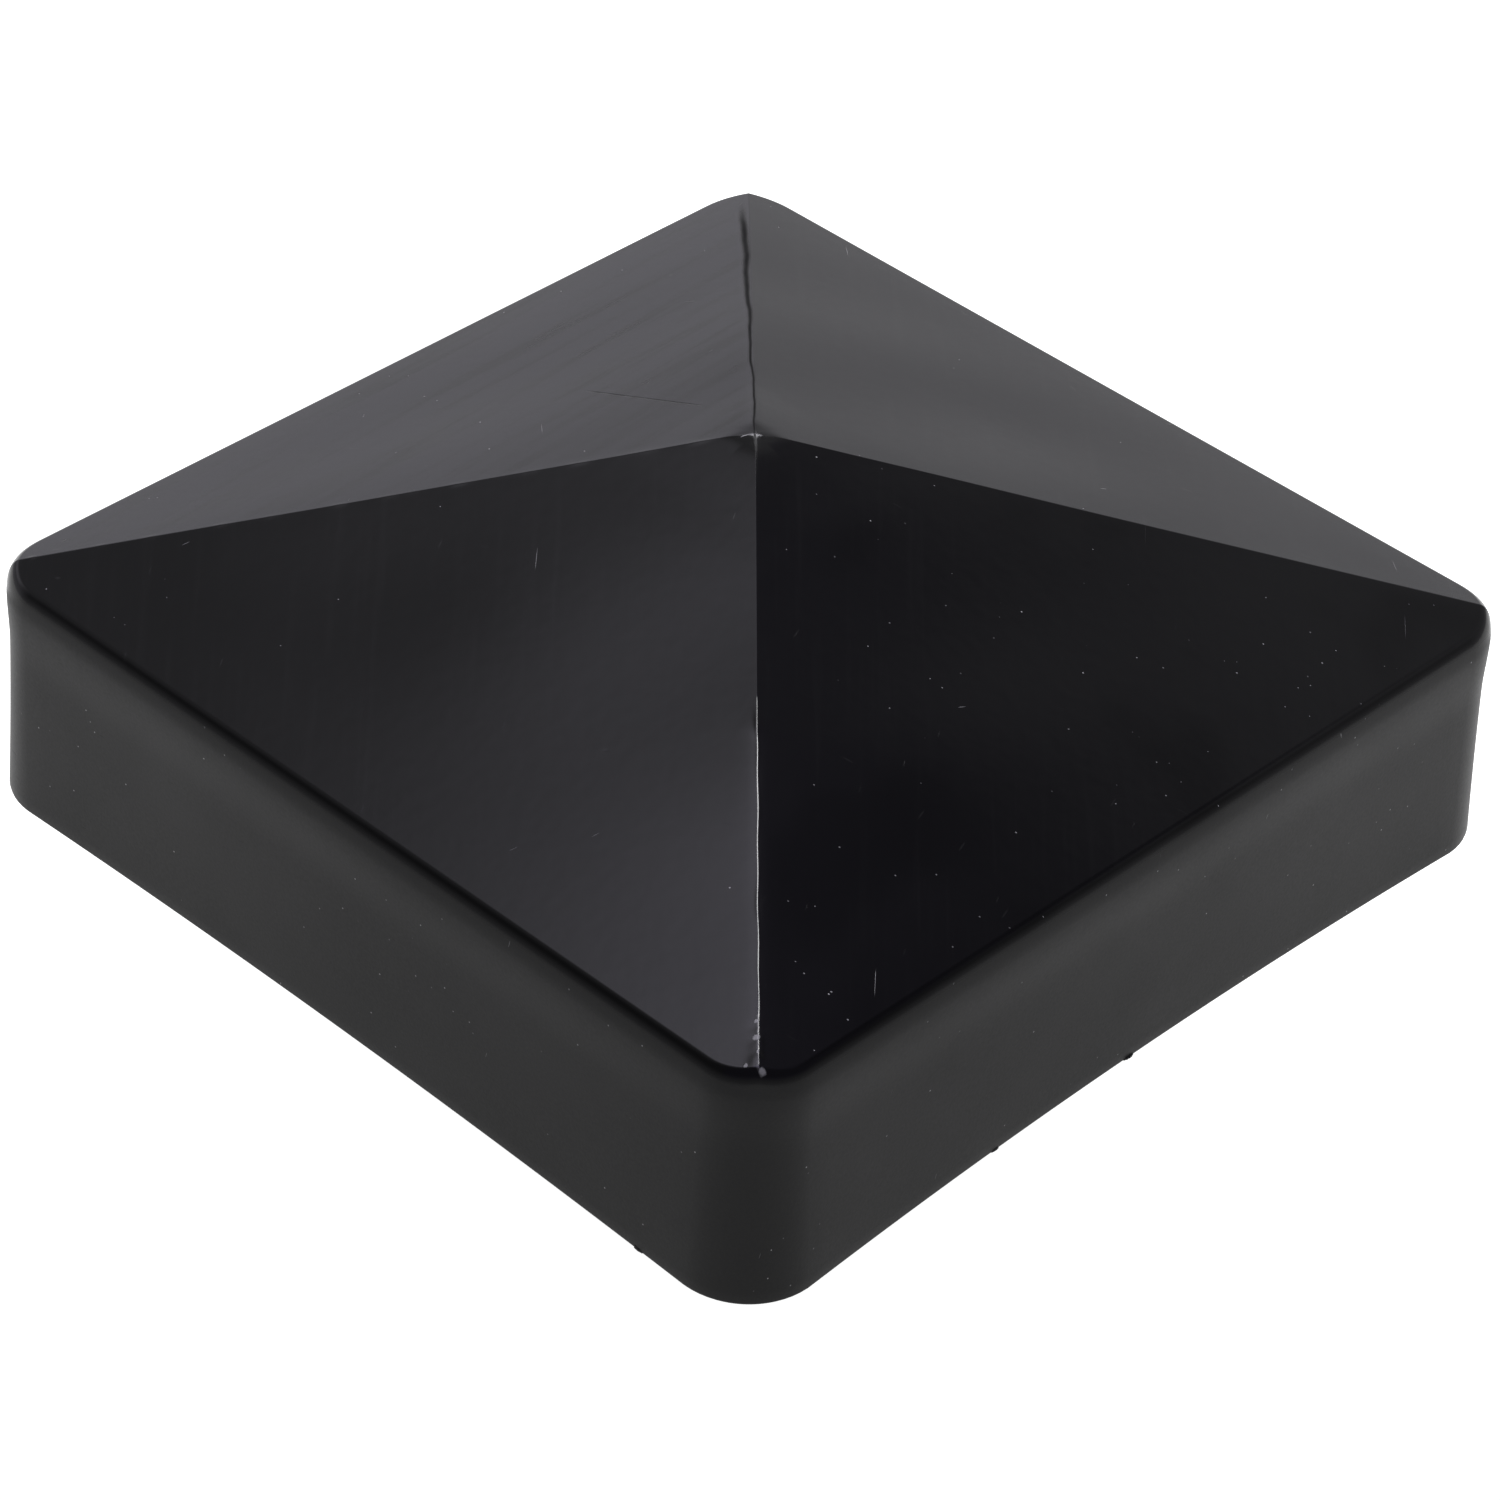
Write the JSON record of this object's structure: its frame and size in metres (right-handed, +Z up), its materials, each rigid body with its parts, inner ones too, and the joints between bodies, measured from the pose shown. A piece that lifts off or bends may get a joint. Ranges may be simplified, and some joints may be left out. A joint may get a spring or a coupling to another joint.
{
  "type": "fence post cap",
  "caption": "Glossy black pyramid cap for a square timber fence post, pressed by hidden pegs onto a screwed-down fixing plate.",
  "frame": {"origin": "on the plane of the skirt's rim, under the point of the pyramid, so the part stands on z = 0", "axes": "+Z up through the point of the pyramid; the four walls face +X, -X, +Y and -Y, and -Y is called front"},
  "size_m": [0.108, 0.108, 0.0445],
  "materials": {
    "cap_plastic": "black moulded plastic, polished on the pyramid and satin on the skirt",
    "peg_steel": "stainless steel dowel with a chamfered tip",
    "plate_plastic": "fine-textured dark grey moulded plastic",
    "gasket_rubber": "matt black closed-cell rubber sheet",
    "grommet_rubber": "soft dark grey moulded rubber"
  },
  "bodies": {
    "fixing_base": {"fixing_plate": "plate_plastic", "plate_gasket": "gasket_rubber", "grommet_front_left": "grommet_rubber", "grommet_front_right": "grommet_rubber", "grommet_back_left": "grommet_rubber", "grommet_back_right": "grommet_rubber"},
    "cap": {"cap_shell": "cap_plastic", "peg_front_left": "peg_steel", "peg_front_right": "peg_steel", "peg_back_left": "peg_steel", "peg_back_right": "peg_steel"}
  },
  "joints": [
    {"name": "cap_lift", "type": "slide", "parent": "fixing_base", "child": "cap", "axis": [0, 0, 1], "range_m": [0, 0.04]}
  ]
}
